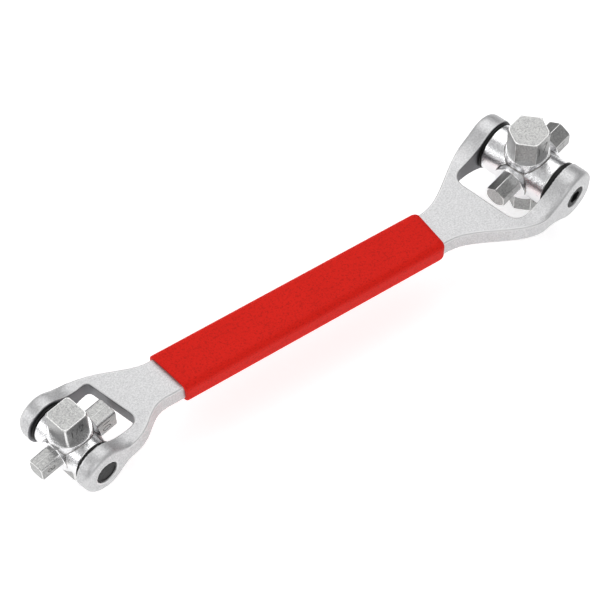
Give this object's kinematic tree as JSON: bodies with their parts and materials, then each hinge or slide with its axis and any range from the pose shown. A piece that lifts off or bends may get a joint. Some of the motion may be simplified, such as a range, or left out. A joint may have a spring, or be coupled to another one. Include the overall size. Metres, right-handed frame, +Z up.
{
  "type": "drain plug wrench",
  "caption": "Double-ended wrench with a fork at each end, each holding a four-way rotor of male drive bits on a cross pin; cushioned grip sleeve on a flat forged bar.",
  "frame": {"origin": "under the middle of the whole wrench, level with its lowest point, the end of the large head's lower bit", "axes": "+X along the bar from the small head to the large head, +Z up out of the flat of the bar, +Y across; both heads are turned 13.9 degrees about +Z"},
  "size_m": [0.2948, 0.0656, 0.0542],
  "materials": {
    "forged_handle": "satin",
    "polished_hub": "polished",
    "drive_bit_steel": "satin",
    "black_screw": "satin",
    "ring_rubber": "satin",
    "grip_vinyl": "matte"
  },
  "bodies": {
    "handle": {"handle_body": "forged_handle", "grip_sleeve": "grip_vinyl", "small_pivot_screw": "black_screw", "large_pivot_screw": "black_screw", "small_front_ring": "ring_rubber", "small_back_ring": "ring_rubber", "large_front_ring": "ring_rubber", "large_back_ring": "ring_rubber"},
    "small_rotor": {"small_hub": "polished_hub", "small_bit_square_half_inch": "drive_bit_steel", "small_bit_square_10": "drive_bit_steel", "small_bit_square_11": "drive_bit_steel", "small_bit_square_8": "drive_bit_steel"},
    "large_rotor": {"large_hub": "polished_hub", "large_bit_hex_17": "drive_bit_steel", "large_bit_hex_12": "drive_bit_steel", "large_bit_hex_14": "drive_bit_steel", "large_bit_hex_10": "drive_bit_steel"}
  },
  "joints": [
    {"name": "small_rotor_spin", "type": "hinge", "parent": "handle", "child": "small_rotor", "pos_m": [-0.12753, -0.00952, 0.02676], "axis": [-0.2402, 0.9707, 0], "continuous": true},
    {"name": "large_rotor_spin", "type": "hinge", "parent": "handle", "child": "large_rotor", "pos_m": [0.12127, 0.00248, 0.02676], "axis": [-0.2402, 0.9707, 0], "continuous": true}
  ]
}
